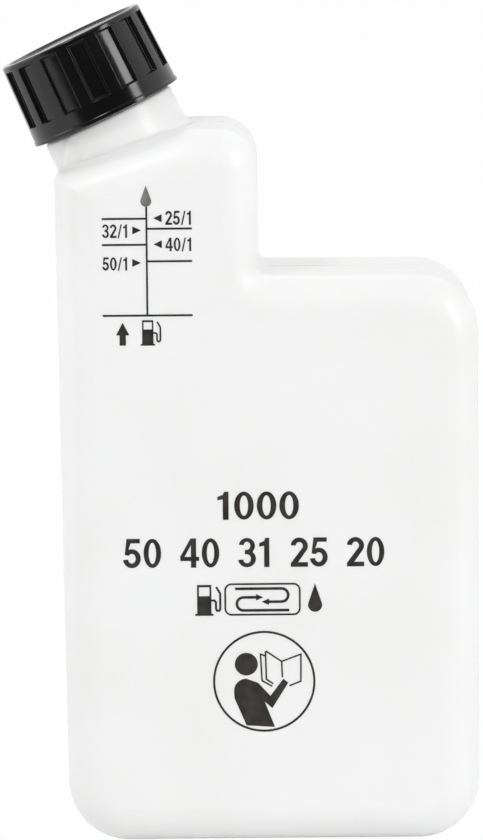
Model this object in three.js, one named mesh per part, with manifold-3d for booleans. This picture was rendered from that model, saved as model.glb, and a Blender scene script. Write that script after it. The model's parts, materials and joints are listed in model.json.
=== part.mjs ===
// A one-litre fuel mixing bottle: a hollow blow-moulded body with a low and a tall part,
// a slanted screw neck on the tall part, its ribbed screw cap and the cap's loose sealing disc.
// Millimetres, +Z up. The face with the mixing scale looks along -Y, the low part lies at +X.

import * as THREE from 'three';
import * as BufferGeometryUtils from 'three/addons/utils/BufferGeometryUtils.js';
import Module from 'manifold-3d';

const wasm = await Module();
wasm.setup();

// Body: outside sizes of the blow-moulded shell, taken at its middle plane
const BODY_WIDTH = 115;
const BODY_DEPTH = 64;
const LOW_HEIGHT = 159.2;
const TALL_HEIGHT = 200;
const TALL_WIDTH = 54;
const LEFT_LEAN = 2.2;
const WALL = 1.4;

// Roundings: the first runs round the front and back faces, the others are the outline's corners
const EDGE_RADIUS = 10;
const BASE_CORNER = 17;
const LOW_CORNER = 16.5;
const TALL_CORNER = 10.5;
const RISER_COVE = 3;
const SMALLEST_CORNER = 0.5;

// Base: a shallow push-up that leaves a flat rim to stand on
const RIM_WIDTH = 5;
const PUSH_UP = 1.5;
const PUSH_UP_DRAFT = 3;
const PUSH_UP_CORNER = 9;

// Neck: it leans to the left on a sloping seat
const NECK_LEAN = THREE.MathUtils.degToRad(25);
const SEAT_SLOPE = THREE.MathUtils.degToRad(18.3);
const NECK_RISE = 9.3;
const LEDGE_WIDTH = 1.9;
const LEDGE_CHAMFER = 0.8;
const NECK_WALL = 1.8;
const NECK_COVE = 1.2;
const NECK_SINK = 6;
const BORE_FLARE = 2.5;

// Screw finish of the neck, above its ledge
const FINISH_RADIUS = 17.4;
const FINISH_HEIGHT = 20.2;
const LIP_CHAMFER = 0.6;

// Thread: a round-crested single start, right-handed, that runs out into the wall at both ends
const THREAD_PITCH = 4;
const THREAD_TURNS = 1.75;
const THREAD_HEIGHT = 1;
const THREAD_BEAD = 1.1;
const THREAD_FROM_LIP = 2.6;
const THREAD_RUN_OUT = 0.08;
const THREAD_CLEARANCE = 0.4;

// Cap
const CAP_WALL = 3.05;
const CAP_TAPER = 0.8;
const CAP_TOP = 2;
const CAP_EDGE = 1;
const CAP_GAP = 0.5;
const CAP_LEAD_IN = 0.5;
const CAP_LIP_HEIGHT = 1;
const CAP_LIP_PROUD = 0.3;
const CAP_TURNS = 1.5;

// Grip pockets round the cap
const POCKETS = 15;
const POCKET_WIDTH = 4.6;
const POCKET_DEPTH = 1.3;
const POCKET_DRAFT = 0.45;
const POCKET_CORNER = 0.8;
const POCKET_FROM_TOP = 1.6;
const POCKET_FROM_BOTTOM = 5.3;

// Sealing disc, loose between the neck's lip and the cap's ceiling
const DISC_THICKNESS = 1.5;
const DISC_PLAY = 0.4;
const SEAT_GAP = 0.3;

// Facets
const CORNER_SEGMENTS = 4;
const EDGE_SEGMENTS = 6;
const ROUND_SEGMENTS = 60;
const THREAD_STEPS_PER_TURN = 30;
const BEAD_SEGMENTS = 5;
const OVERCUT = 1;

// Heights along the neck's axis, from the middle of its seat
const ledge = NECK_RISE;
const lip = ledge + FINISH_HEIGHT;
const neckRadius = FINISH_RADIUS + LEDGE_WIDTH;
const boreRadius = FINISH_RADIUS - NECK_WALL;
const capBase = ledge + CAP_GAP;
const discBase = lip + SEAT_GAP;
const capCeiling = discBase + DISC_THICKNESS + SEAT_GAP - capBase;
const capHeight = capCeiling + CAP_TOP;
const capBore = FINISH_RADIUS + THREAD_HEIGHT + THREAD_CLEARANCE;
const capRadius = capBore + CAP_WALL;
const threadBase = lip - THREAD_FROM_LIP - THREAD_TURNS * THREAD_PITCH;

const HDPE = new THREE.MeshStandardMaterial({ color: 0xf0f0ec, roughness: 0.38, metalness: 0 });
const POLYPROPYLENE = new THREE.MeshStandardMaterial({ color: 0x18191b, roughness: 0.3, metalness: 0 });
const FOAM = new THREE.MeshStandardMaterial({ color: 0xe6e5df, roughness: 0.85, metalness: 0 });

// Turns a closed three.js geometry into a solid that can be cut and joined.
function toSolid(geometry) {
  const bare = geometry.clone();
  bare.deleteAttribute('normal');
  bare.deleteAttribute('uv');
  const merged = BufferGeometryUtils.mergeVertices(bare, 1e-4);
  const corners = merged.index.array;
  const triangles = [];
  for (let i = 0; i < corners.length; i += 3) {
    const [a, b, c] = corners.slice(i, i + 3);
    if (a !== b && b !== c && c !== a) triangles.push(a, b, c);
  }
  return new wasm.Manifold(new wasm.Mesh({
    numProp: 3,
    vertProperties: merged.attributes.position.array,
    triVerts: Uint32Array.from(triangles),
  }));
}

// Gives a solid back as a mesh with its name and material.
function toMesh(solid, name, material) {
  const { vertProperties, triVerts } = solid.getMesh();
  const geometry = new THREE.BufferGeometry();
  geometry.setAttribute('position', new THREE.BufferAttribute(vertProperties, 3));
  geometry.setIndex(new THREE.BufferAttribute(triVerts, 1));
  geometry.computeVertexNormals();
  const mesh = new THREE.Mesh(geometry, material);
  mesh.name = name;
  return mesh;
}

// Revolves a profile of radius and height about +Z.
function revolve(profile) {
  const geometry = new THREE.LatheGeometry(profile, ROUND_SEGMENTS);
  return geometry.rotateX(Math.PI / 2);
}

// Moves each side of an outline inwards. Convex corners lose as much radius and hollow ones gain it.
function insetOutline(corners, inset) {
  const count = corners.length;
  const sides = corners.map((corner, i) => {
    const next = corners[(i + 1) % count];
    const along = new THREE.Vector2(next.x - corner.x, next.y - corner.y).normalize();
    return { along, start: new THREE.Vector2(corner.x - inset * along.y, corner.y + inset * along.x) };
  });
  return corners.map((corner, i) => {
    const before = sides[(i + count - 1) % count];
    const after = sides[i];
    const turn = before.along.cross(after.along);
    const gap = after.start.clone().sub(before.start);
    const reach = gap.cross(after.along) / turn;
    const place = before.start.clone().addScaledVector(before.along, reach);
    const radius = corner.radius - Math.sign(turn) * inset;
    return { x: place.x, y: place.y, radius: Math.max(radius, SMALLEST_CORNER) };
  });
}

// Draws an outline whose corners are arcs of their own radius.
function roundedShape(corners) {
  const shape = new THREE.Shape();
  const count = corners.length;
  corners.forEach((corner, i) => {
    const here = new THREE.Vector2(corner.x, corner.y);
    const back = corners[(i + count - 1) % count];
    const ahead = corners[(i + 1) % count];
    const toBack = new THREE.Vector2(back.x, back.y).sub(here).normalize();
    const toAhead = new THREE.Vector2(ahead.x, ahead.y).sub(here).normalize();
    const half = Math.acos(toBack.dot(toAhead)) / 2;
    const middle = toBack.clone().add(toAhead).normalize();
    const centre = here.clone().addScaledVector(middle, corner.radius / Math.sin(half));
    const first = here.clone().addScaledVector(toBack, corner.radius / Math.tan(half)).sub(centre);
    const last = here.clone().addScaledVector(toAhead, corner.radius / Math.tan(half)).sub(centre);
    const hollow = toBack.cross(toAhead) > 0;
    shape.absarc(centre.x, centre.y, corner.radius, first.angle(), last.angle(), hollow);
  });
  return shape;
}

// A rectangle about the origin with equal round corners.
function roundedRectangle(width, height, radius) {
  const x = width / 2;
  const y = height / 2;
  const corners = [[-x, -y], [x, -y], [x, y], [-x, y]];
  return roundedShape(corners.map(([cx, cy]) => ({ x: cx, y: cy, radius })));
}

// A block with drafted sides: its outline keeps its size up to z = 0 and draws in to its end face.
function draftedBlock(shape, depth, draft, reach) {
  const geometry = new THREE.ExtrudeGeometry(shape, {
    depth: reach,
    curveSegments: CORNER_SEGMENTS / 2,
    bevelThickness: depth,
    bevelSize: draft,
    bevelOffset: -draft,
    bevelSegments: 1,
  });
  return geometry.translate(0, 0, -reach);
}

// The body's outline at its middle plane, anticlockwise from the foot of the left wall.
const seatRun = 2 * neckRadius * Math.cos(SEAT_SLOPE);
const seatTop = { x: seatRun - LEFT_LEAN, y: TALL_HEIGHT, radius: BASE_CORNER };
const seatFoot = { x: -LEFT_LEAN, y: TALL_HEIGHT - seatRun * Math.tan(SEAT_SLOPE), radius: TALL_CORNER };
const BODY_OUTLINE = [
  { x: 0, y: 0, radius: BASE_CORNER },
  { x: BODY_WIDTH, y: 0, radius: BASE_CORNER },
  { x: BODY_WIDTH, y: LOW_HEIGHT, radius: LOW_CORNER },
  { x: TALL_WIDTH, y: LOW_HEIGHT, radius: RISER_COVE },
  { x: TALL_WIDTH, y: TALL_HEIGHT, radius: TALL_CORNER },
  seatTop,
  seatFoot,
];

// The neck's own frame: +Z along its axis, the origin in the middle of its seat.
const neckFrame = new THREE.Matrix4()
  .makeRotationY(-NECK_LEAN)
  .setPosition((seatTop.x + seatFoot.x) / 2, 0, (seatTop.y + seatFoot.y) / 2);

// The body's form, drawn in by an equal distance on every side: 0 outside, the wall inside.
function bodyForm(inset) {
  const rounding = EDGE_RADIUS - inset;
  const flat = BODY_DEPTH - 2 * EDGE_RADIUS;
  const geometry = new THREE.ExtrudeGeometry(roundedShape(insetOutline(BODY_OUTLINE, EDGE_RADIUS)), {
    depth: flat,
    curveSegments: CORNER_SEGMENTS,
    bevelThickness: rounding,
    bevelSize: rounding,
    bevelSegments: EDGE_SEGMENTS,
  });
  return toSolid(geometry.translate(0, 0, -flat / 2).rotateX(Math.PI / 2));
}

// The push-up of the base, grown by an equal distance on every side.
function pushUp(growth) {
  const width = BODY_WIDTH - 2 * (BASE_CORNER + RIM_WIDTH) + 2 * growth;
  const depth = BODY_DEPTH - 2 * (EDGE_RADIUS + RIM_WIDTH) + 2 * growth;
  const shape = roundedRectangle(width, depth, PUSH_UP_CORNER + growth);
  const block = draftedBlock(shape, PUSH_UP + growth, PUSH_UP_DRAFT, EDGE_RADIUS);
  return toSolid(block.translate(BODY_WIDTH / 2, 0, 0));
}

// A thread's centre line: a right-handed helix whose ends bend into the wall by the sink.
class ThreadPath extends THREE.Curve {
  constructor(radius, base, turns, sink) {
    super();
    Object.assign(this, { radius, base, turns, sink });
  }

  getPoint(t, target = new THREE.Vector3()) {
    const angle = t * this.turns * 2 * Math.PI;
    const fromEnd = Math.min(t, 1 - t) * this.turns / THREAD_RUN_OUT;
    const sunk = fromEnd < 1 ? this.sink * (1 - fromEnd) ** 2 : 0;
    const radius = this.radius + sunk;
    const height = this.base + t * this.turns * THREAD_PITCH;
    return target.set(radius * Math.cos(angle), radius * Math.sin(angle), height);
  }
}

// A thread: a round bead swept along its path, half buried in the wall that carries it.
function thread(path) {
  const bead = new THREE.Shape();
  bead.absarc(0, 0, THREAD_BEAD, 0, 2 * Math.PI);
  return toSolid(new THREE.ExtrudeGeometry(bead, {
    steps: Math.round(path.turns * THREAD_STEPS_PER_TURN),
    curveSegments: BEAD_SEGMENTS,
    extrudePath: path,
  }));
}

// The outside of the neck, solid, in the neck's frame.
function neckForm() {
  return toSolid(revolve([
    new THREE.Vector2(0, -NECK_SINK),
    new THREE.Vector2(neckRadius, -NECK_SINK),
    new THREE.Vector2(neckRadius, ledge - LEDGE_CHAMFER),
    new THREE.Vector2(neckRadius - LEDGE_CHAMFER, ledge),
    new THREE.Vector2(FINISH_RADIUS, ledge),
    new THREE.Vector2(FINISH_RADIUS, lip - LIP_CHAMFER),
    new THREE.Vector2(FINISH_RADIUS - LIP_CHAMFER, lip),
    new THREE.Vector2(0, lip),
  ]));
}

// The cove at the neck's foot: full on the side of the shoulder, and nothing at the left wall.
function neckCove() {
  const foot = neckRadius + NECK_COVE;
  const top = neckRadius - NECK_COVE;
  const profile = new THREE.Path();
  profile.moveTo(0, -NECK_COVE);
  profile.lineTo(foot, -NECK_COVE);
  profile.lineTo(foot, 0);
  profile.absarc(foot, foot - top, foot - top, -Math.PI / 2, -Math.PI, true);
  profile.lineTo(0, foot - top);
  const ring = revolve(profile.getPoints(CORNER_SEGMENTS / 2));
  ring.translate(NECK_COVE, 0, 0).rotateY(NECK_LEAN - SEAT_SLOPE);
  return toSolid(ring);
}

// What is taken out of the neck: a straight bore in the screw finish, wider below the ledge.
function neckBore() {
  const throat = neckRadius - NECK_WALL;
  return toSolid(revolve([
    new THREE.Vector2(0, -NECK_SINK - OVERCUT),
    new THREE.Vector2(throat, -NECK_SINK - OVERCUT),
    new THREE.Vector2(throat, ledge - NECK_WALL - BORE_FLARE),
    new THREE.Vector2(boreRadius, ledge - NECK_WALL),
    new THREE.Vector2(boreRadius, lip + OVERCUT),
    new THREE.Vector2(0, lip + OVERCUT),
  ]));
}

// One blown shell: the body and the neck share one wall and one inside.
function makeBottleBody() {
  const centreLine = FINISH_RADIUS + THREAD_HEIGHT - THREAD_BEAD;
  const neckThread = thread(new ThreadPath(centreLine, threadBase, THREAD_TURNS, -THREAD_HEIGHT));
  const neck = neckForm().add(neckThread).add(neckCove()).transform(neckFrame.elements);
  const inside = bodyForm(WALL).subtract(pushUp(WALL));
  return bodyForm(0)
    .subtract(pushUp(0))
    .add(neck)
    .subtract(inside)
    .subtract(neckBore().transform(neckFrame.elements));
}

// One grip pocket's cutter, on the +Y side of the cap and square to its tapered wall.
function gripPocket() {
  const height = capHeight - POCKET_FROM_TOP - POCKET_FROM_BOTTOM;
  const middle = POCKET_FROM_BOTTOM + height / 2;
  const radius = capRadius - CAP_TAPER * middle / capHeight;
  const shape = roundedRectangle(POCKET_WIDTH, height, POCKET_CORNER);
  const block = draftedBlock(shape, POCKET_DEPTH, POCKET_DRAFT, CAP_WALL);
  const draw = Math.atan(CAP_TAPER / capHeight);
  return block.rotateX(Math.PI / 2 + draw).translate(0, radius, middle);
}

// The cap's wall and top, in its own frame: +Z up its axis, the origin at its open end.
function capForm() {
  const edge = capRadius - CAP_TAPER - CAP_EDGE;
  const profile = new THREE.Path();
  profile.moveTo(0, capCeiling);
  profile.lineTo(capBore, capCeiling);
  profile.lineTo(capBore, CAP_LEAD_IN);
  profile.lineTo(capBore + CAP_LEAD_IN, 0);
  profile.lineTo(capRadius + CAP_LIP_PROUD, 0);
  profile.lineTo(capRadius + CAP_LIP_PROUD, CAP_LIP_HEIGHT);
  profile.lineTo(capRadius, CAP_LIP_HEIGHT + CAP_LIP_PROUD);
  profile.absarc(edge, capHeight - CAP_EDGE, CAP_EDGE, 0, Math.PI / 2, false);
  profile.lineTo(0, capHeight);
  return toSolid(revolve(profile.getPoints(CORNER_SEGMENTS / 2)));
}

// One moulded cap: its thread hangs half a pitch below the neck's, and the pockets grip the hand.
function makeScrewCap() {
  const crest = capBore - THREAD_HEIGHT;
  const base = threadBase - THREAD_PITCH / 2 - capBase;
  const path = new ThreadPath(crest + THREAD_BEAD, base, CAP_TURNS, THREAD_HEIGHT);
  const cap = capForm().add(thread(path));
  const pockets = [];
  for (let i = 0; i < POCKETS; i += 1) {
    const turned = gripPocket().rotateZ(Math.PI + i * 2 * Math.PI / POCKETS);
    pockets.push(toSolid(turned));
  }
  return cap.subtract(wasm.Manifold.union(pockets));
}

// The sealing disc, a plain punched round.
function makeSealingDisc() {
  const radius = capBore - DISC_PLAY;
  return toSolid(revolve([
    new THREE.Vector2(0, 0),
    new THREE.Vector2(radius, 0),
    new THREE.Vector2(radius, DISC_THICKNESS),
    new THREE.Vector2(0, DISC_THICKNESS),
  ]));
}

const bottle = new THREE.Group();
bottle.add(toMesh(makeBottleBody(), 'bottle_body', HDPE));

const closure = new THREE.Group();
closure.applyMatrix4(neckFrame);
const screwCap = toMesh(makeScrewCap(), 'screw_cap', POLYPROPYLENE);
screwCap.position.z = capBase;
const sealingDisc = toMesh(makeSealingDisc(), 'sealing_disc', FOAM);
sealingDisc.position.z = discBase;
closure.add(screwCap, sealingDisc);
bottle.add(closure);

// The origin lies on the ground in the middle of the whole bottle, cap included.
bottle.updateMatrixWorld(true);
const extent = new THREE.Box3().setFromObject(bottle, true);
bottle.position.x = -(extent.min.x + extent.max.x) / 2;

export default bottle;
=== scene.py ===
"""A one-litre fuel mixing bottle of milky polyethylene with a ribbed black cap and a printed scale.

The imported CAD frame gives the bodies, the joints and the front face. This file adds the finishes,
the shell with soft shading and a tighter shoulder corner, the cap as moulded with its rounded
pockets and its thread, the mould's parting seam and the printed ink. Lengths are metres, and sizes
given in millimetres are multiplied by MM, apart from outlines and prints, which stay in
millimetres until their meshes are made.
"""

import json
import logging
import math
from contextlib import contextmanager
from dataclasses import dataclass
from enum import Enum
from typing import Any, Callable, Iterator, Sequence

import bmesh
import bpy
from mathutils import Matrix, Vector


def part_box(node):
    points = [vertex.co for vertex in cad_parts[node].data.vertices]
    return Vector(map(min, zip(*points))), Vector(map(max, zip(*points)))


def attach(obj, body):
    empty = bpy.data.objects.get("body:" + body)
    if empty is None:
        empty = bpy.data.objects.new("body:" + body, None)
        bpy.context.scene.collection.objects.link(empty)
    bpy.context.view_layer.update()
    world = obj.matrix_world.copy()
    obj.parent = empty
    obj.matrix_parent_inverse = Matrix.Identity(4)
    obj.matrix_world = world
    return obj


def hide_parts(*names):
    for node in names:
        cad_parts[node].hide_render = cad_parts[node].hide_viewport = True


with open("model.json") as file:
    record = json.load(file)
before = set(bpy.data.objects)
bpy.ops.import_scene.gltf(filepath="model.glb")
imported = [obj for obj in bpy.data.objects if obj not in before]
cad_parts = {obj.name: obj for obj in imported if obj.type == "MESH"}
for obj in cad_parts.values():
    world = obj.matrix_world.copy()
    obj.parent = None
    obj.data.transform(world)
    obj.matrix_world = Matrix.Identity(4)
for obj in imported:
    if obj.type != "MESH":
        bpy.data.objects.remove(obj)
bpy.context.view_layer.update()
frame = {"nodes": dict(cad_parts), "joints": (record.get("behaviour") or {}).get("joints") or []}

MM = 0.001
LOG = logging.getLogger("fuel_mixing_bottle")

# In metres: points closer than this are welded, unless a piece has a weld of its own.
WELD = 1e-6
# A face looks along an axis when its normal has at least this much of it.
FACING = 0.9
# The part of a noise's range over which a finish's colour drifts.
MOTTLE_RANGE = (0.35, 0.65)

Point = tuple[float, float]
Outline = list[Point]


class Body(Enum):
    """The CAD bodies that the pieces ride on."""

    BOTTLE = "bottle"
    CAP = "cap"
    DISC = "disc"


class Slot(Enum):
    """The record's material slots."""

    SHELL = "translucent_polyethylene"
    CAP = "black_polypropylene"
    DISC = "foam_disc"
    INK = "printed_ink"


def linear(hex_code: str) -> tuple[float, float, float, float]:
    """Turns an sRGB hex colour into linear light.

    Args:
        hex_code: Six hex digits, with or without a leading hash.

    Returns:
        Red, green, blue and an alpha of one.
    """
    digits = hex_code.lstrip("#")
    parts = [int(digits[i:i + 2], 16) / 255 for i in (0, 2, 4)]
    light = [p / 12.92 if p <= 0.04045 else ((p + 0.055) / 1.055) ** 2.4 for p in parts]
    return (*light, 1.0)


def add_node(tree: bpy.types.NodeTree, kind: str, inputs: dict[Any, Any] | None = None,
             **settings: Any) -> bpy.types.Node:
    """Adds a shader node with its settings.

    Args:
        tree: The node tree.
        kind: The node's Blender type name.
        inputs: Values by socket name or number; a socket given as a value is linked.
        settings: The node's own properties.

    Returns:
        The new node.
    """
    made = tree.nodes.new(kind)
    for key, value in settings.items():
        setattr(made, key, value)
    for key, value in (inputs or {}).items():
        if isinstance(value, bpy.types.NodeSocket):
            tree.links.new(value, made.inputs[key])
        else:
            made.inputs[key].default_value = value
    return made


@dataclass(frozen=True)
class Finish:
    """A surface finish; each kind adds its own pattern to the plain shader."""

    name: str
    colour: str
    roughness: float
    ior: float

    def material(self) -> bpy.types.Material:
        """Makes the material.

        Returns:
            A new material whose shader is linked to its output.
        """
        made = bpy.data.materials.new(self.name)
        made.use_nodes = True
        tree = made.node_tree
        tree.nodes.clear()
        shader = add_node(tree, "ShaderNodeBsdfPrincipled", {
            "Base Color": linear(self.colour), "Roughness": self.roughness, "IOR": self.ior})
        output = add_node(tree, "ShaderNodeOutputMaterial")
        tree.links.new(shader.outputs["BSDF"], output.inputs["Surface"])
        self.pattern(tree, shader)
        return made

    def pattern(self, tree: bpy.types.NodeTree, shader: bpy.types.Node) -> None:
        """Adds the finish's own detail; a plain finish has none."""

    def noise(self, tree: bpy.types.NodeTree, size_mm: float, detail: float) -> bpy.types.Node:
        """Adds a noise in the piece's own space whose lumps are about the size given.

        Args:
            tree: The material's node tree.
            size_mm: The size of a lump in millimetres.
            detail: How many finer octaves it has.

        Returns:
            The noise node.
        """
        place = add_node(tree, "ShaderNodeTexCoord")
        return add_node(tree, "ShaderNodeTexNoise", {
            "Vector": place.outputs["Object"], "Scale": 1 / (size_mm * MM), "Detail": detail})

    def mottle(self, tree: bpy.types.NodeTree, shader: bpy.types.Node, lumps: bpy.types.Node,
               other: str) -> None:
        """Lets the colour drift between the finish's own and another along a noise."""
        low, high = MOTTLE_RANGE
        ramp = add_node(tree, "ShaderNodeMapRange", {
            "Value": lumps.outputs["Fac"], "From Min": low, "From Max": high})
        mix = add_node(tree, "ShaderNodeMix", {
            0: ramp.outputs["Result"], 6: linear(self.colour), 7: linear(other)}, data_type="RGBA")
        tree.links.new(mix.outputs[2], shader.inputs["Base Color"])

    def bumps(self, tree: bpy.types.NodeTree, shader: bpy.types.Node,
              layers: Sequence[tuple[bpy.types.Node, float]]) -> None:
        """Stacks bumps under the shader, each with its height in millimetres."""
        normal = None
        for lumps, height in layers:
            bump = add_node(tree, "ShaderNodeBump", {
                "Height": lumps.outputs["Fac"], "Distance": height * MM, "Strength": 1.0})
            if normal is not None:
                tree.links.new(normal, bump.inputs["Normal"])
            normal = bump.outputs["Normal"]
        tree.links.new(normal, shader.inputs["Normal"])


@dataclass(frozen=True)
class MilkyPolyethylene(Finish):
    """Natural HDPE as blown: milky, satin, a little wavy where the wall cooled unevenly."""

    depth_mm: float = 1.2
    glow: float = 0.25
    soak: tuple[float, float, float] = (1.0, 0.95, 0.85)
    cloud_colour: str = "#F5F6F5"
    cloud_mm: float = 38
    wave_mm: float = 55
    wave_height_mm: float = 0.35
    grain_mm: float = 1.1
    grain_height_mm: float = 0.01

    def pattern(self, tree: bpy.types.NodeTree, shader: bpy.types.Node) -> None:
        """Adds the light that soaks into the wall, cloudy thickness, waves and grain."""
        shader.inputs["Subsurface Weight"].default_value = self.glow
        shader.inputs["Subsurface Radius"].default_value = self.soak
        shader.inputs["Subsurface Scale"].default_value = self.depth_mm * MM
        self.mottle(tree, shader, self.noise(tree, self.cloud_mm, 1), self.cloud_colour)
        waves = self.noise(tree, self.wave_mm, 0)
        grain = self.noise(tree, self.grain_mm, 2)
        self.bumps(tree, shader, [(waves, self.wave_height_mm), (grain, self.grain_height_mm)])


@dataclass(frozen=True)
class BlackPolypropylene(Finish):
    """Black PP from a polished mould: glossy, with faint flow marks and handling haze."""

    haze_mm: float = 9
    haze_range: tuple[float, float] = (0.3, 0.7)
    less_rough: float = 0.03
    more_rough: float = 0.05
    cloud_colour: str = "#121214"
    cloud_mm: float = 14
    flow_mm: float = 6
    flow_height_mm: float = 0.035
    grain_mm: float = 0.6
    grain_height_mm: float = 0.002

    def pattern(self, tree: bpy.types.NodeTree, shader: bpy.types.Node) -> None:
        """Adds haze in patches and very shallow flow marks."""
        haze = self.noise(tree, self.haze_mm, 3)
        low, high = self.haze_range
        rough = add_node(tree, "ShaderNodeMapRange", {
            "Value": haze.outputs["Fac"], "From Min": low, "From Max": high,
            "To Min": self.roughness - self.less_rough,
            "To Max": self.roughness + self.more_rough})
        tree.links.new(rough.outputs["Result"], shader.inputs["Roughness"])
        self.mottle(tree, shader, self.noise(tree, self.cloud_mm, 1), self.cloud_colour)
        self.bumps(tree, shader, [(self.noise(tree, self.flow_mm, 1), self.flow_height_mm),
                                  (self.noise(tree, self.grain_mm, 1), self.grain_height_mm)])


@dataclass(frozen=True)
class PrintedInk(Finish):
    """Screen ink: a thin satin film, slightly uneven where it was pulled."""

    thin_colour: str = "#332E2C"
    patch_mm: float = 3
    mesh_mm: float = 0.5
    mesh_height_mm: float = 0.01

    def pattern(self, tree: bpy.types.NodeTree, shader: bpy.types.Node) -> None:
        """Adds patches where the film is thinner and the printing mesh's faint texture."""
        self.mottle(tree, shader, self.noise(tree, self.patch_mm, 2), self.thin_colour)
        self.bumps(tree, shader, [(self.noise(tree, self.mesh_mm, 1), self.mesh_height_mm)])


@dataclass(frozen=True)
class SealingFoam(Finish):
    """Closed-cell polyethylene foam: matt, with its fine cells drawn a bit coarser."""

    cloud_colour: str = "#D9D7CE"
    cloud_mm: float = 5
    cell_mm: float = 0.7
    cell_height_mm: float = 0.15

    def pattern(self, tree: bpy.types.NodeTree, shader: bpy.types.Node) -> None:
        """Adds the cells as small pits."""
        self.mottle(tree, shader, self.noise(tree, self.cloud_mm, 2), self.cloud_colour)
        self.bumps(tree, shader, [(self.noise(tree, self.cell_mm, 0), self.cell_height_mm)])


SHELL_FINISH = MilkyPolyethylene("milky_polyethylene", "#F2F2F1", 0.34, 1.54)
CAP_FINISH = BlackPolypropylene("black_polypropylene", "#0B0B0D", 0.13, 1.5)
INK_FINISH = PrintedInk("screen_ink_dark", "#1E1A19", 0.5, 1.45)
PALE_INK_FINISH = PrintedInk("screen_ink_thin", "#6E6B69", 0.45, 1.5, "#858281")
DISC_FINISH = SealingFoam("closed_cell_foam", "#E4E2DA", 0.85, 1.45)


def select_only(piece: bpy.types.Object) -> None:
    """Deselects everything, then selects one object and makes it active."""
    bpy.ops.object.select_all(action="DESELECT")
    piece.select_set(True)
    bpy.context.view_layer.objects.active = piece


@contextmanager
def editing(piece: bpy.types.Object) -> Iterator[None]:
    """Opens a piece in edit mode and closes it again."""
    select_only(piece)
    bpy.ops.object.mode_set(mode="EDIT")
    yield
    bpy.ops.object.mode_set(mode="OBJECT")


def select_where(piece: bpy.types.Object, kind: str, wanted: Callable[[Any], bool]) -> None:
    """Selects, in edit mode, only the faces or edges that pass a test.

    Args:
        piece: The piece, already open in edit mode.
        kind: FACE or EDGE.
        wanted: The test, which looks at a face's or an edge's place or normal.
    """
    bpy.ops.mesh.select_mode(type=kind)
    bpy.ops.mesh.select_all(action="DESELECT")
    mesh = bmesh.from_edit_mesh(piece.data)
    for part in mesh.faces if kind == "FACE" else mesh.edges:
        part.select_set(wanted(part))
    bmesh.update_edit_mesh(piece.data)


def slice_level(height: float) -> None:
    """Cuts the whole mesh in edit mode with a level plane, keeping both sides."""
    bpy.ops.mesh.select_all(action="SELECT")
    bpy.ops.mesh.bisect(plane_co=(0, 0, height), plane_no=(0, 0, 1))


def apply_modifier(piece: bpy.types.Object, kind: str, **settings: Any) -> None:
    """Adds a modifier with its settings and applies it."""
    select_only(piece)
    made = piece.modifiers.new(kind.lower(), kind)
    for key, value in settings.items():
        setattr(made, key, value)
    bpy.ops.object.modifier_apply(modifier=made.name)


def close_and_orient(piece: bpy.types.Object) -> None:
    """Welds doubles, closes open ends and turns every face outwards."""
    with editing(piece):
        bpy.ops.mesh.select_all(action="SELECT")
        bpy.ops.mesh.remove_doubles(threshold=WELD)
        bpy.ops.mesh.fill_holes(sides=0)
        bpy.ops.mesh.select_all(action="SELECT")
        bpy.ops.mesh.normals_make_consistent(inside=False)


def smooth(piece: bpy.types.Object, angle: float) -> None:
    """Shades a piece smooth, with its edges sharper than the angle in degrees kept."""
    select_only(piece)
    bpy.ops.object.shade_smooth_by_angle(angle=math.radians(angle))


def dress(piece: bpy.types.Object, finish: bpy.types.Material, body: Body) -> None:
    """Gives a finished piece its material and the body it rides on."""
    piece.data.materials.clear()
    piece.data.materials.append(finish)
    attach(piece, body.value)


@dataclass(frozen=True)
class NeckFrame:
    """The slanted frame of the neck: its origin in the middle of the cap's open end."""

    matrix: Matrix

    @classmethod
    def from_joint(cls, joints: Sequence[dict[str, Any]], name: str) -> "NeckFrame":
        """Reads the frame from the joint that turns the cap.

        Args:
            joints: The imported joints.
            name: The joint's name.

        Returns:
            The frame with +Z along the joint's axis and -Y still to the front.
        """
        joint = next(j for j in joints if j["name"] == name)
        axis = Vector(joint["axis"]).normalized()
        lean = Matrix.Rotation(math.atan2(axis.x, axis.z), 4, "Y")
        return cls(Matrix.Translation(Vector(joint["pos_m"])) @ lean)

    def place(self, piece: bpy.types.Object) -> None:
        """Moves a mesh that was modelled upright at the origin onto the neck."""
        piece.data.transform(self.matrix)
        piece.data.update()


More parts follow.
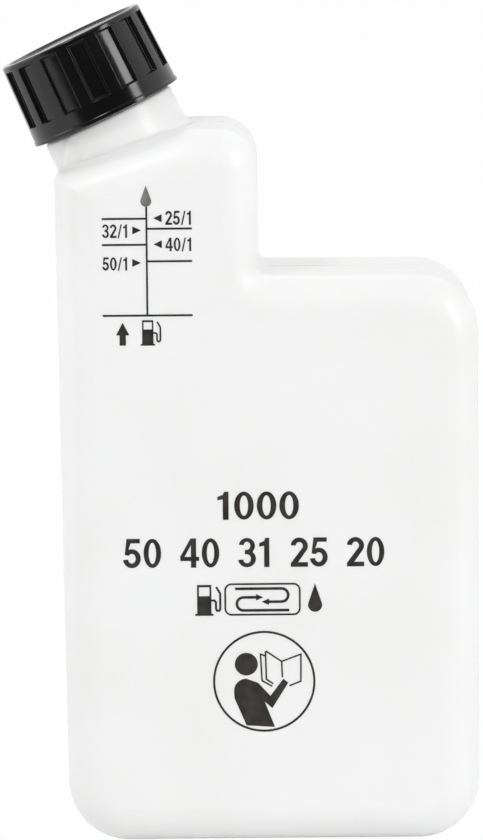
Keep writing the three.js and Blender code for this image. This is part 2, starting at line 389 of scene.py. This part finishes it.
@dataclass
class BottleShell:
    """The blown shell: the CAD wall with soft shading, and a tighter corner at the neck's foot.

    The corner's place is that of the CAD outline, where the left wall meets the neck's seat.
    """

    weld: float = 0.002 * MM
    corner: tuple[float, float] = (-51.288 * MM, 187.88 * MM)
    wall_lean: float = math.radians(0.671)
    seat_slope: float = math.radians(18.3)
    cad_radius: float = 10.5 * MM
    corner_radius: float = 4 * MM
    least_radius: float = 0.5 * MM
    reach_margin: float = 1.02
    turn_margin: float = 0.01
    quad_bend: float = math.radians(2)
    quad_skew: float = math.radians(60)
    sharp_angle: float = 32

    def build(self, finish: bpy.types.Material) -> list[bpy.types.Object]:
        """Builds and dresses the shell.

        Args:
            finish: The shell's material.

        Returns:
            The one piece.
        """
        shell = self.copy_wall()
        self.tighten_corner(shell)
        smooth(shell, self.sharp_angle)
        apply_modifier(shell, "WEIGHTED_NORMAL", keep_sharp=True, weight=100)
        dress(shell, finish, Body.BOTTLE)
        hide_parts("bottle_body")
        return [shell]

    def copy_wall(self) -> bpy.types.Object:
        """Copies the CAD wall, welds its triangles and joins them to quads."""
        source = frame["nodes"]["bottle_body"]
        shell = bpy.data.objects.new("bottle_shell", source.data.copy())
        bpy.context.scene.collection.objects.link(shell)
        with editing(shell):
            bpy.ops.mesh.select_all(action="SELECT")
            bpy.ops.mesh.remove_doubles(threshold=self.weld)
            bpy.ops.mesh.tris_convert_to_quads(face_threshold=self.quad_bend,
                                               shape_threshold=self.quad_skew)
        return shell

    def tighten_corner(self, shell: bpy.types.Object) -> None:
        """Draws the shoulder's round corner to a smaller radius, layer by layer."""
        wall, seat = math.pi + self.wall_lean, math.pi / 2 + self.seat_slope
        middle, half = (wall + seat) / 2, (math.pi - wall + seat) / 2
        inwards = Vector((-math.cos(middle), 0, -math.sin(middle))) / math.sin(half)
        tip = Vector((self.corner[0], 0, self.corner[1]))
        centre = tip + inwards * self.cad_radius
        reach = self.cad_radius * self.reach_margin
        first, last = seat - self.turn_margin, wall + self.turn_margin
        for vertex in shell.data.vertices:
            across = Vector((vertex.co.x, 0, vertex.co.z)) - centre
            turned = math.atan2(across.z, across.x) % (2 * math.pi)
            if across.length > reach or not first < turned < last:
                continue
            inset = self.cad_radius - across.length
            radius = max(self.corner_radius - inset, self.least_radius)
            placed = tip + inwards * (inset + radius) + across.normalized() * radius
            vertex.co.x, vertex.co.z = placed.x, placed.z
        shell.data.update()


@dataclass
class ScrewCap:
    """The moulded cap: tapered skirt with a lip, grip pockets, a hollow and its thread."""

    neck: NeckFrame
    radius: float = 21.85 * MM
    taper: float = 0.8 * MM
    height: float = 23.8 * MM
    ceiling: float = 21.8 * MM
    bore: float = 18.8 * MM
    lip_height: float = 1.0 * MM
    lip_proud: float = 0.2 * MM
    top_rounding: float = 0.7 * MM
    rim_width: float = 1.4 * MM
    dish: float = 0.6 * MM
    pockets: int = 15
    pocket_turn: float = math.radians(4.5)
    pocket_share: float = 0.6
    pocket_depth: float = 1.3 * MM
    pocket_draft: float = 0.4 * MM
    pocket_bottom: float = 5.3 * MM
    pocket_from_top: float = 1.6 * MM
    edge_rounding: float = 0.22 * MM
    facets_per_pocket: int = 10
    bevel_angle: float = math.radians(28)
    sharp_angle: float = 35
    hair: float = 0.01 * MM
    round_face_corners: int = 8
    thread_bead: float = 1.1 * MM
    thread_height: float = 1.0 * MM
    thread_turns: float = 1.5
    thread_base: float = 8.1 * MM
    pitch: float = 4 * MM
    bead_facets: int = 12
    thread_steps: int = 90
    thread_sharp_angle: float = 40

    def build(self, finish: bpy.types.Material) -> list[bpy.types.Object]:
        """Builds and dresses the cap and its thread.

        Args:
            finish: The cap's material.

        Returns:
            The pieces.
        """
        cap = self.turn_blank()
        self.shape_top(cap)
        self.press_pockets(cap)
        self.hollow_out(cap)
        apply_modifier(cap, "BEVEL", width=self.edge_rounding, segments=3, limit_method="ANGLE",
                       angle_limit=self.bevel_angle, use_clamp_overlap=True)
        close_and_orient(cap)
        smooth(cap, self.sharp_angle)
        apply_modifier(cap, "WEIGHTED_NORMAL", keep_sharp=True, weight=60)
        cap.data.transform(Matrix.Rotation(self.pocket_turn, 4, "Z"))
        thread = self.wind_thread()
        for piece in (cap, thread):
            self.neck.place(piece)
            dress(piece, finish, Body.CAP)
        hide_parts("screw_cap")
        return [cap, thread]

    def turn_blank(self) -> bpy.types.Object:
        """Makes the solid tapered blank with its lip at the open end."""
        bpy.ops.object.select_all(action="DESELECT")
        bpy.ops.mesh.primitive_cylinder_add(
            vertices=self.pockets * self.facets_per_pocket, radius=self.radius, depth=self.height,
            location=(0, 0, self.height / 2))
        cap = bpy.context.object
        cap.name = "cap_moulding"
        bpy.ops.object.transform_apply(location=True)
        with editing(cap):
            select_where(cap, "FACE", lambda face: face.normal.z > FACING)
            narrow = 1 - self.taper / self.radius
            bpy.ops.transform.resize(value=(narrow, narrow, 1), center_override=(0, 0, self.height))
            for level in (self.lip_height, self.lip_height + self.lip_proud, self.pocket_bottom,
                          self.height - self.pocket_from_top):
                slice_level(level)
            reach = self.lip_height + self.lip_proud / 2
            select_where(cap, "FACE", lambda face: max(v.co.z for v in face.verts) < reach)
            wide = 1 + self.lip_proud / self.radius
            bpy.ops.transform.resize(value=(wide, wide, 1), center_override=(0, 0, 0))
        return cap

    def shape_top(self, cap: bpy.types.Object) -> None:
        """Rounds the edge of the closed end and dishes its middle inside a narrow rim."""
        top = self.height - self.hair
        with editing(cap):
            select_where(cap, "EDGE", lambda edge: min(v.co.z for v in edge.verts) > top)
            bpy.ops.mesh.bevel(offset=self.top_rounding, segments=5, affect="EDGES")
            select_where(cap, "FACE", lambda face: min(v.co.z for v in face.verts) > top)
            bpy.ops.mesh.inset(thickness=self.rim_width, depth=0)
            bpy.ops.mesh.inset(thickness=self.dish, depth=-self.dish)

    def in_pocket(self, face: bmesh.types.BMFace) -> bool:
        """Says whether a face of the skirt lies where a pocket is pressed in."""
        middle = face.calc_center_median()
        step = 2 * math.pi / self.pockets
        turn = math.atan2(middle.x, -middle.y) / step
        off_centre = abs(turn - round(turn))
        level = self.pocket_bottom < middle.z < self.height - self.pocket_from_top
        return level and off_centre < self.pocket_share / 2

    def press_pockets(self, cap: bpy.types.Object) -> None:
        """Sinks the grip pockets into the skirt, with drafted sides."""
        with editing(cap):
            select_where(cap, "FACE", self.in_pocket)
            bpy.ops.mesh.inset(thickness=self.pocket_draft, depth=-self.pocket_depth,
                               use_boundary=True, use_even_offset=True)

    def hollow_out(self, cap: bpy.types.Object) -> None:
        """Opens the cap from below up to its ceiling."""
        wall = self.radius + self.lip_proud - self.bore
        with editing(cap):
            select_where(cap, "FACE", lambda face: (
                face.normal.z < -FACING and len(face.verts) > self.round_face_corners))
            bpy.ops.mesh.inset(thickness=wall, depth=0)
            bpy.ops.mesh.extrude_region_move(
                TRANSFORM_OT_translate={"value": (0, 0, self.ceiling)})

    def wind_thread(self) -> bpy.types.Object:
        """Winds the thread's bead up the inside of the skirt."""
        bpy.ops.object.select_all(action="DESELECT")
        bpy.ops.mesh.primitive_circle_add(
            vertices=self.bead_facets, radius=self.thread_bead, rotation=(math.pi / 2, 0, 0),
            location=(self.bore - self.thread_height + self.thread_bead, 0, self.thread_base))
        thread = bpy.context.object
        thread.name = "cap_thread"
        bpy.ops.object.transform_apply(location=True, rotation=True)
        apply_modifier(thread, "SCREW", angle=self.thread_turns * 2 * math.pi,
                       screw_offset=self.thread_turns * self.pitch, iterations=1,
                       steps=self.thread_steps, render_steps=self.thread_steps, axis="Z",
                       use_smooth_shade=True)
        close_and_orient(thread)
        smooth(thread, self.thread_sharp_angle)
        return thread


@dataclass
class SealingDisc:
    """The loose sealing disc, a punched round with slightly crushed edges."""

    neck: NeckFrame
    radius: float = 18.4 * MM
    thickness: float = 1.5 * MM
    base: float = 20.0 * MM
    crush: float = 0.25 * MM
    facets: int = 96
    sharp_angle: float = 40

    def build(self, finish: bpy.types.Material) -> list[bpy.types.Object]:
        """Builds and dresses the disc.

        Args:
            finish: The foam's material.

        Returns:
            The one piece.
        """
        bpy.ops.object.select_all(action="DESELECT")
        bpy.ops.mesh.primitive_cylinder_add(
            vertices=self.facets, radius=self.radius, depth=self.thickness,
            location=(0, 0, self.base + self.thickness / 2))
        disc = bpy.context.object
        disc.name = "sealing_foam"
        bpy.ops.object.transform_apply(location=True)
        with editing(disc):
            select_where(disc, "EDGE", lambda edge: (
                abs(edge.verts[0].co.z - edge.verts[1].co.z) < WELD))
            bpy.ops.mesh.bevel(offset=self.crush, segments=3, affect="EDGES")
        close_and_orient(disc)
        smooth(disc, self.sharp_angle)
        self.neck.place(disc)
        dress(disc, finish, Body.DISC)
        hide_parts("sealing_disc")
        return [disc]


def rectangle(x: float, z: float, width: float, height: float) -> Outline:
    """A rectangle from its lower left corner, in millimetres."""
    return [(x, z), (x + width, z), (x + width, z + height), (x, z + height)]


def arc(x: float, z: float, radius: float, start: float, end: float, steps: int = 12,
        tall: float = 1.0) -> Outline:
    """Points along an arc, with its angles in degrees; tall stretches it upwards."""
    turns = [math.radians(start + (end - start) * i / steps) for i in range(steps + 1)]
    return [(x + radius * math.cos(t), z + radius * tall * math.sin(t)) for t in turns]


def drop(x: float, tip: float, centre: float, radius: float) -> Outline:
    """A falling drop: a point on top and a round belly."""
    side = math.degrees(math.acos(radius / (tip - centre)))
    return [(x, tip)] + arc(x, centre, radius, 90 + side, 450 - side, 28)


def ribbon(path: Sequence[Point], width: float) -> Outline:
    """The outline of a line of even width along a path, with square ends."""
    points = [Vector(p) for p in path]
    left, right = [], []
    for i, here in enumerate(points):
        back = (here - points[i - 1]).normalized() if i else None
        ahead = (points[i + 1] - here).normalized() if i + 1 < len(points) else None
        along = ((back or ahead) + (ahead or back)).normalized()
        across = Vector((-along.y, along.x))
        reach = width / 2 / max(0.5, along.dot(ahead or back))
        left.append(tuple(here + across * reach))
        right.append(tuple(here - across * reach))
    return left + right[::-1]


def arrowhead(x: float, z: float, length: float, height: float) -> Outline:
    """A triangle with its tip at a point; a negative length makes it point left."""
    return [(x, z), (x - length, z + height / 2), (x - length, z - height / 2)]


@dataclass
class PartingSeam:
    """The fine raised line that the two mould halves leave down both ends of the body.

    It follows the CAD outline, a little sunk in. The thickness is in metres, the places, radii and
    the sink are in millimetres, and the turns and the angle are in degrees.
    """

    thickness: float = 0.44 * MM
    sink: float = 0.1
    right_wall: float = 65.912
    riser: float = 4.912
    low_top: float = 159.2
    tall_top: float = 200.0
    base_corner: float = 17.0
    low_corner: float = 16.5
    cove: float = 3.0
    tall_corner: float = 10.5
    left_centre: float = -31.89
    left_end: Point = (-51.24, 184.0)
    foot_turn: float = 50.0
    wall_turn: float = 0.7
    sharp_angle: float = 50

    def build(self, finish: bpy.types.Material) -> list[bpy.types.Object]:
        """Builds and dresses the seam.

        Args:
            finish: The shell's material.

        Returns:
            The one piece.
        """
        curve = bpy.data.curves.new("parting_seam", "CURVE")
        curve.dimensions = "3D"
        curve.bevel_depth = self.thickness / 2
        curve.bevel_resolution = 1
        curve.use_fill_caps = True
        for run in (self.right_run(), self.left_run()):
            spline = curve.splines.new("POLY")
            spline.points.add(len(run) - 1)
            for point, (x, z) in zip(spline.points, run):
                point.co = (x * MM, 0, z * MM, 1)
        seam = bpy.data.objects.new("parting_seam", curve)
        bpy.context.scene.collection.objects.link(seam)
        select_only(seam)
        bpy.ops.object.convert(target="MESH")
        close_and_orient(seam)
        smooth(seam, self.sharp_angle)
        dress(seam, finish, Body.BOTTLE)
        return [seam]

    def right_run(self) -> Outline:
        """The line from the right foot over the low part and up to the neck."""
        return [
            *arc(self.right_wall - self.base_corner, self.base_corner,
                 self.base_corner - self.sink, -self.foot_turn, 0, 10),
            *arc(self.right_wall - self.low_corner, self.low_top - self.low_corner,
                 self.low_corner - self.sink, 0, 90, 18),
            *arc(self.riser + self.cove, self.low_top + self.cove, self.cove + self.sink,
                 270, 180, 8),
            *arc(self.riser - self.tall_corner, self.tall_top - self.tall_corner,
                 self.tall_corner - self.sink, 0, 90, 14)]

    def left_run(self) -> Outline:
        """The line from the left foot straight up the leaning wall."""
        foot = arc(self.left_centre, self.base_corner, self.base_corner - self.sink,
                   180 + self.foot_turn, 180 + self.wall_turn, 10)
        return [*foot, (self.left_end[0] + self.sink, self.left_end[1])]


@dataclass(frozen=True)
class Glyph:
    """A figure of a bold plain face: its outlines in a box one high, and the box's width."""

    width: float
    outlines: tuple[Outline, ...]


GLYPHS = {
    "0": Glyph(0.54, (arc(0.27, 0.5, 0.27, 0, 350, 35, 1.85),
                      arc(0.27, 0.5, 0.115, 0, 345, 23, 3.2))),
    "1": Glyph(0.4, ([(0.17, 0), (0.33, 0), (0.33, 1), (0.21, 1), (0.17, 0.89), (0.02, 0.82),
                      (0.02, 0.7), (0.17, 0.73)],)),
    "2": Glyph(0.53, ([*arc(0.265, 0.715, 0.265, 175, -38, 20, 1.075), (0.225, 0.155),
                       (0.53, 0.155), (0.53, 0), (0, 0), (0, 0.12),
                       *arc(0.265, 0.715, 0.11, -42, 175, 14, 1.2)],)),
    "3": Glyph(0.54, ([*arc(0.265, 0.735, 0.25, 172, -42, 18, 1.06),
                       *arc(0.265, 0.29, 0.275, 48, -172, 20, 1.055),
                       *arc(0.265, 0.29, 0.12, -172, 90, 14, 1.3), (0.2, 0.446), (0.2, 0.595),
                       *arc(0.265, 0.735, 0.105, -90, 172, 12, 1.33)],)),
    "4": Glyph(0.58, ([(0.32, 1), (0.49, 1), (0.49, 0.37), (0.58, 0.37), (0.58, 0.23),
                       (0.49, 0.23), (0.49, 0), (0.33, 0), (0.33, 0.23), (0, 0.23), (0, 0.38)],
                      [(0.33, 0.37), (0.33, 0.77), (0.13, 0.37)])),
    "5": Glyph(0.53, ([(0.5, 1), (0.09, 1), (0.03, 0.45), (0.165, 0.43),
                       *arc(0.25, 0.325, 0.12, 125, -170, 16, 1.4),
                       *arc(0.25, 0.325, 0.275, -172, 112, 22, 1.18), (0.215, 0.85),
                       (0.5, 0.85)],)),
    "/": Glyph(0.36, ([(0, -0.02), (0.11, -0.02), (0.36, 1), (0.25, 1)],)),
    " ": Glyph(0.42, ()),
}


@dataclass
class InkPrint:
    """All that is printed on the front face, as thin films of ink; places are in millimetres."""

    front: float
    film: float = 0.07 * MM
    line: float = 0.55
    glyph_gap: float = 0.085

    def build(self, dark: bpy.types.Material, pale: bpy.types.Material) -> list[bpy.types.Object]:
        """Prints the scale, the rows of numbers and the symbols.

        Args:
            dark: The full ink.
            pale: The ink where it is pulled thin.

        Returns:
            The pieces, each on the bottle.
        """
        prints = [
            self.stamp("ink_scale_lines", self.scale_lines()),
            self.stamp("ink_scale_arrows", self.scale_arrows()),
            self.stamp("ink_scale_numbers", self.set_rows(self.scale_numbers())),
            self.stamp("ink_pump_small", self.small_pump()),
            self.stamp("ink_title_numbers", self.set_rows(self.title_numbers())),
            self.stamp("ink_pump_large", self.large_pump()),
            self.stamp("ink_mixing_sign", self.mixing_sign()),
            self.stamp("ink_oil_drop", [[drop(20.0, 73.8, 67.75, 1.95)]]),
            self.stamp("ink_reader_ring", self.reader_ring()),
            self.stamp("ink_reader", self.reader()),
            self.stamp("ink_book", self.book()),
        ]
        scale_drop = self.stamp("ink_scale_drop", [[drop(-25.8, 185.0, 180.6, 1.5)]])
        for piece in prints:
            dress(piece, dark, Body.BOTTLE)
        dress(scale_drop, pale, Body.BOTTLE)
        return [*prints, scale_drop]

    def lay_on_face(self, piece: bpy.types.Object) -> None:
        """Turns a flat film upright and sets it on the front face, a hair into the wall."""
        upright = Matrix.Rotation(math.pi / 2, 4, "X")
        piece.data.transform(Matrix.Translation((0, self.front - self.film / 4, 0)) @ upright)
        close_and_orient(piece)

    def stamp(self, name: str, marks: Sequence[Sequence[Outline]]) -> bpy.types.Object:
        """Makes one film from marks that don't overlap.

        Args:
            name: The piece's name.
            marks: For each mark its closed outline in millimetres, then its holes.

        Returns:
            The film, as a closed mesh on the face.
        """
        bpy.ops.object.select_all(action="DESELECT")
        for outlines in marks:
            curve = bpy.data.curves.new(name, "CURVE")
            curve.dimensions = "2D"
            curve.fill_mode = "BOTH"
            curve.extrude = self.film / 2
            for outline in outlines:
                spline = curve.splines.new("POLY")
                spline.points.add(len(outline) - 1)
                for point, (x, z) in zip(spline.points, outline):
                    point.co = (x * MM, z * MM, 0, 1)
                spline.use_cyclic_u = True
            mark = bpy.data.objects.new(name, curve)
            bpy.context.scene.collection.objects.link(mark)
            mark.select_set(True)
            bpy.context.view_layer.objects.active = mark
        bpy.ops.object.convert(target="MESH")
        if len(marks) > 1:
            bpy.ops.object.join()
        made = bpy.context.object
        made.name = name
        self.lay_on_face(made)
        return made

    def set_rows(self, rows: Sequence[tuple[str, Point, Point]]) -> list[list[Outline]]:
        """Sets rows of figures, each row fitted to its own box.

        Args:
            rows: For each, its figures and the box's lower left and upper right corners.

        Returns:
            The outlines of every figure.
        """
        marks = []
        for text, low, high in rows:
            natural = sum(GLYPHS[key].width for key in text) + self.glyph_gap * (len(text) - 1)
            wide, tall = (high[0] - low[0]) / natural, high[1] - low[1]
            start = 0.0
            for key in text:
                glyph = GLYPHS[key]
                if glyph.outlines:
                    marks.append([
                        [(low[0] + (start + x) * wide, low[1] + z * tall) for x, z in outline]
                        for outline in glyph.outlines])
                start += glyph.width + self.glyph_gap
        return marks

    def scale_lines(self) -> list[list[Outline]]:
        """The scale's upright, two short lines on each side and the long line at the bottom."""
        first, last, foot, top = -38.0, -13.2, 148.72, 179.1
        left, right, half = -25.96, -25.44, self.line / 2
        upright = rectangle(left, foot + self.line, right - left, top - foot - self.line)
        short = [rectangle(first, z - half, left - first, self.line) for z in (175.8, 168.6)]
        short += [rectangle(right, z - half, last - right, self.line) for z in (173.0, 164.0)]
        return [[upright], *([line] for line in short),
                [rectangle(first, foot, last - first, self.line)]]

    def scale_arrows(self) -> list[list[Outline]]:
        """The pointers beside the ratios and the arrow up at the foot of the scale."""
        pointers = [
            arrowhead(-23.8, 175.9, -2.3, 2.2), arrowhead(-23.8, 168.7, -2.3, 2.2),
            arrowhead(-27.2, 172.6, 2.4, 2.2), arrowhead(-27.3, 163.6, 2.4, 2.2)]
        up = [(-32.55, 147.05), (-34.4, 143.55), (-33.45, 143.55), (-33.45, 140.7),
              (-31.7, 140.7), (-31.7, 143.55), (-30.75, 143.55)]
        return [*([pointer] for pointer in pointers), [up]]

    def scale_numbers(self) -> list[tuple[str, Point, Point]]:
        """The four mixing ratios."""
        return [
            ("25/1", (-20.5, 174.05), (-13.2, 177.9)), ("40/1", (-20.5, 166.75), (-13.2, 170.5)),
            ("32/1", (-37.9, 170.55), (-30.8, 174.3)), ("50/1", (-37.9, 161.55), (-30.9, 165.2))]

    def title_numbers(self) -> list[tuple[str, Point, Point]]:
        """Plain numbers: a litre in millilitres, and the oil for it at five common ratios."""
        return [("1000", (-7.1, 91.85), (15.7, 99.7)),
                ("50 40 31 25 20", (-33.0, 78.5), (39.3, 86.7))]

    def pump(self, x: float, z: float, width: float, height: float) -> list[list[Outline]]:
        """A fuel pump's sign: cabinet with a window, foot and a hose with its nozzle."""
        window = rectangle(x + width * 0.13, z + height * 0.61, width * 0.74, height * 0.31)
        cabinet = rectangle(x, z, width, height)
        foot = rectangle(x - width * 0.14, z - height * 0.07, width * 1.28, height * 0.07)
        hose = [(1.0, 0.46), (1.22, 0.46), (1.32, 0.4), (1.32, 0.16), (1.4, 0.1), (1.54, 0.1),
                (1.62, 0.16), (1.62, 0.7), (1.34, 0.93)]
        run = [(x + width * across, z + height * up) for across, up in hose]
        return [[cabinet, window], [foot], [ribbon(run, width * 0.15)]]

    def small_pump(self) -> list[list[Outline]]:
        """The pump beside the arrow at the foot of the scale."""
        return self.pump(-27.2, 141.1, 3.1, 6.6)

    def large_pump(self) -> list[list[Outline]]:
        """The pump on the left of the row of signs."""
        return self.pump(-12.75, 65.5, 3.95, 8.1)

    def mixing_sign(self) -> list[list[Outline]]:
        """A rounded box with two bent arrows that chase each other."""
        corners = [(16.0, 74.0), (-5.2, 74.0), (-5.2, 64.9), (16.0, 64.9)]
        middle = (5.4, 69.45)

        def box(inset: float, radius: float) -> Outline:
            """The box's outline, drawn in by an inset."""
            reach = radius + inset
            centres = [(x - math.copysign(reach, x - middle[0]),
                        z - math.copysign(reach, z - middle[1])) for x, z in corners]
            return [point for (x, z), start in zip(centres, (0, 90, 180, 270))
                    for point in arc(x, z, radius, start, start + 90, 8)]

        upper = ribbon([(-2.2, 72.45), *arc(10.7, 70.6, 1.85, 90, -90, 14), (7.2, 68.75)], 0.75)
        lower = ribbon([(12.8, 66.35), *arc(0.1, 68.18, 1.83, 270, 90, 14), (3.6, 70.01)], 0.75)
        heads = [arrowhead(5.2, 68.75, -2.0, 1.8), arrowhead(5.6, 70.01, 2.0, 1.8)]
        return [[box(0, 2.0), box(0.5, 1.5)], [upper], [lower], *([head] for head in heads)]

    def reader_ring(self) -> list[list[Outline]]:
        """The round frame of the sign that says to read up before mixing."""
        outer, inner = (arc(5.7, 46.3, radius, 0, 355, 71) for radius in (14.25, 13.65))
        return [[outer, inner]]

    def reader(self) -> list[list[Outline]]:
        """A plain figure from the side: a round head and a seated body that holds the book."""
        head = arc(0.75, 51.2, 3.2, 0, 345, 23)
        body = [(0.7, 47.1), *arc(0.7, 43.7, 3.4, 100, 178, 6), (-2.6, 41.6), (0.7, 33.9),
                (8.6, 33.4), (5.8, 40.6), (7.9, 38.7), (12.4, 45.9), (11.0, 47.0), (7.4, 42.2),
                (4.0, 45.9)]
        return [[head], [body]]

    def book(self) -> list[list[Outline]]:
        """An open book in thin lines, with the edge of its back page."""
        width = 0.44
        lines = [
            [(6.1, 54.9), (10.6, 51.9), (15.95, 53.9), (15.9, 46.3), (12.7, 45.0)],
            [(6.1, 54.72), (6.3, 46.9), (8.2, 45.6)],
            [(10.6, 51.7), (10.75, 47.4)],
            [(6.0, 53.5), (4.7, 54.0), (5.1, 46.5), (7.9, 44.9)]]
        return [[ribbon(line, width)] for line in lines]


@dataclass(frozen=True)
class Lamp:
    """A soft rectangular lamp: its place and size in metres and its power in watts."""

    name: str
    place: tuple[float, float, float]
    size: tuple[float, float]
    power: float


LAMPS = (
    Lamp("key_left", (-0.8, -0.95, 1.5), (0.5, 0.5), 6),
    Lamp("strip_right", (1.28, -0.93, 0.74), (0.35, 1.0), 7.5),
    Lamp("fill_front", (0.3, -2.1, 1.9), (1.2, 0.7), 2),
    Lamp("back_top", (0.2, 1.4, 1.7), (1.4, 0.8), 3.2),
    Lamp("fill_left", (-1.7, -0.2, 0.5), (0.8, 1.0), 3.5),
)


@dataclass
class Studio:
    """A plain pale floor, soft lamps and a camera at the photograph's viewing angle.

    Each fade is a pair of Y values: where reflections of the white paper end, and where they are
    fully white.
    """

    distance: float = 1.5
    elevation: float = math.radians(7.5)
    roll: float = math.radians(0.5)
    aim_height: float = 115.5 * MM
    lens: float = 227.5
    sensor: float = 36
    farthest: float = 200
    lamp_aim: float = 120 * MM
    floor_size: float = 60.0
    floor_colour: str = "#F8F8F8"
    floor_fade: tuple[float, float] = (-0.75, -0.5)
    world_fade: tuple[float, float] = (-0.6, -0.15)
    ambient: float = 0.635
    room: float = 0.06
    paper_white: float = 0.97

    def build(self) -> None:
        """Builds the camera, the floor, the lamps and the world."""
        self.add_camera()
        self.add_floor()
        self.add_world()
        for lamp in LAMPS:
            self.add_lamp(lamp)

    def add_camera(self) -> None:
        """Aims the camera at the bottle's middle from the photograph's side."""
        data = bpy.data.cameras.new("camera")
        data.lens = self.lens
        data.sensor_width = self.sensor
        data.clip_end = self.farthest
        camera = bpy.data.objects.new("camera", data)
        back = Vector((0, -math.cos(self.elevation), math.sin(self.elevation)))
        aim = Vector((0, 0, self.aim_height))
        turn = (-back).to_track_quat("-Z", "Y").to_matrix().to_4x4()
        camera.matrix_world = (Matrix.Translation(aim + back * self.distance) @ turn
                               @ Matrix.Rotation(-self.roll, 4, "Z"))
        bpy.context.scene.collection.objects.link(camera)
        bpy.context.scene.camera = camera

    def paper(self, tree: bpy.types.NodeTree, place: bpy.types.NodeSocket, end: float,
              start: float) -> tuple[bpy.types.NodeSocket, bpy.types.NodeSocket]:
        """Adds the white paper that the camera sees all round and reflections see up to its end.

        Args:
            tree: The node tree.
            place: A position or a direction whose Y tells how far in front it is.
            end: The Y at which a reflection shows only the dim room.
            start: The Y at which a reflection shows the paper fully white.

        Returns:
            One for the rays that see the paper, and its brightness for them.
        """
        rays = add_node(tree, "ShaderNodeLightPath")
        direct = add_node(tree, "ShaderNodeMath", {
            0: rays.outputs["Is Camera Ray"], 1: rays.outputs["Is Transmission Ray"]},
            operation="ADD", use_clamp=True)
        seen = add_node(tree, "ShaderNodeMath", {
            0: direct.outputs["Value"], 1: rays.outputs["Is Glossy Ray"]},
            operation="ADD", use_clamp=True)
        parts = add_node(tree, "ShaderNodeSeparateXYZ", {0: place})
        fade = add_node(tree, "ShaderNodeMapRange", {
            "Value": parts.outputs["Y"], "From Min": end, "From Max": start, "To Min": self.room,
            "To Max": 1.0}, interpolation_type="SMOOTHSTEP")
        bright = add_node(tree, "ShaderNodeMath", {
            0: fade.outputs["Result"], 1: direct.outputs["Value"]}, operation="MAXIMUM")
        return seen.outputs["Value"], bright.outputs["Value"]

    def add_floor(self) -> None:
        """Lays a pale floor that the camera sees nearly white, with the bottle's shadow on it."""
        bpy.ops.object.select_all(action="DESELECT")
        bpy.ops.mesh.primitive_plane_add(size=self.floor_size)
        floor = bpy.context.object
        floor.name = "studio_floor"
        made = bpy.data.materials.new("studio_floor")
        made.use_nodes = True
        tree = made.node_tree
        tree.nodes.clear()
        place = add_node(tree, "ShaderNodeNewGeometry")
        seen, bright = self.paper(tree, place.outputs["Position"], *self.floor_fade)
        share = add_node(tree, "ShaderNodeMath", {0: seen, 1: self.paper_white},
                         operation="MULTIPLY")
        matt = add_node(tree, "ShaderNodeBsdfDiffuse", {"Color": linear(self.floor_colour)})
        white = add_node(tree, "ShaderNodeEmission", {"Color": (1, 1, 1, 1), "Strength": bright})
        mix = add_node(tree, "ShaderNodeMixShader", {
            0: share.outputs["Value"], 1: matt.outputs["BSDF"], 2: white.outputs["Emission"]})
        output = add_node(tree, "ShaderNodeOutputMaterial")
        tree.links.new(mix.outputs["Shader"], output.inputs["Surface"])
        floor.data.materials.append(made)

    def add_world(self) -> None:
        """Surrounds the scene with soft light and, for what is seen directly, white paper."""
        world = bpy.data.worlds.new("studio")
        bpy.context.scene.world = world
        world.use_nodes = True
        tree = world.node_tree
        tree.nodes.clear()
        towards = add_node(tree, "ShaderNodeTexCoord")
        soft = add_node(tree, "ShaderNodeBackground", {
            "Color": (1, 1, 1, 1), "Strength": self.ambient})
        seen, bright = self.paper(tree, towards.outputs["Generated"], *self.world_fade)
        white = add_node(tree, "ShaderNodeBackground", {"Color": (1, 1, 1, 1), "Strength": bright})
        mix = add_node(tree, "ShaderNodeMixShader", {
            0: seen, 1: soft.outputs["Background"], 2: white.outputs["Background"]})
        output = add_node(tree, "ShaderNodeOutputWorld")
        tree.links.new(mix.outputs["Shader"], output.inputs["Surface"])

    def add_lamp(self, lamp: Lamp) -> None:
        """Adds a lamp that faces the bottle's middle."""
        data = bpy.data.lights.new(lamp.name, "AREA")
        data.shape = "RECTANGLE"
        data.size, data.size_y = lamp.size
        data.energy = lamp.power
        made = bpy.data.objects.new(lamp.name, data)
        place = Vector(lamp.place)
        turn = (Vector((0, 0, self.lamp_aim)) - place).to_track_quat("-Z", "Y").to_matrix()
        made.matrix_world = Matrix.Translation(place) @ turn.to_4x4()
        bpy.context.scene.collection.objects.link(made)


def main() -> None:
    """Builds the studio and every piece in order."""
    logging.basicConfig(level=logging.INFO, format="%(name)s: %(message)s")
    bpy.context.scene.view_settings.view_transform = "Standard"
    Studio().build()
    neck = NeckFrame.from_joint(frame["joints"], "cap_turn")
    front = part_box("bottle_body")[0].y
    shell = SHELL_FINISH.material()
    pieces = [
        *BottleShell().build(shell),
        *PartingSeam().build(shell),
        *ScrewCap(neck).build(CAP_FINISH.material()),
        *SealingDisc(neck).build(DISC_FINISH.material()),
        *InkPrint(front).build(INK_FINISH.material(), PALE_INK_FINISH.material()),
    ]


if __name__ == "__main__":
    main()
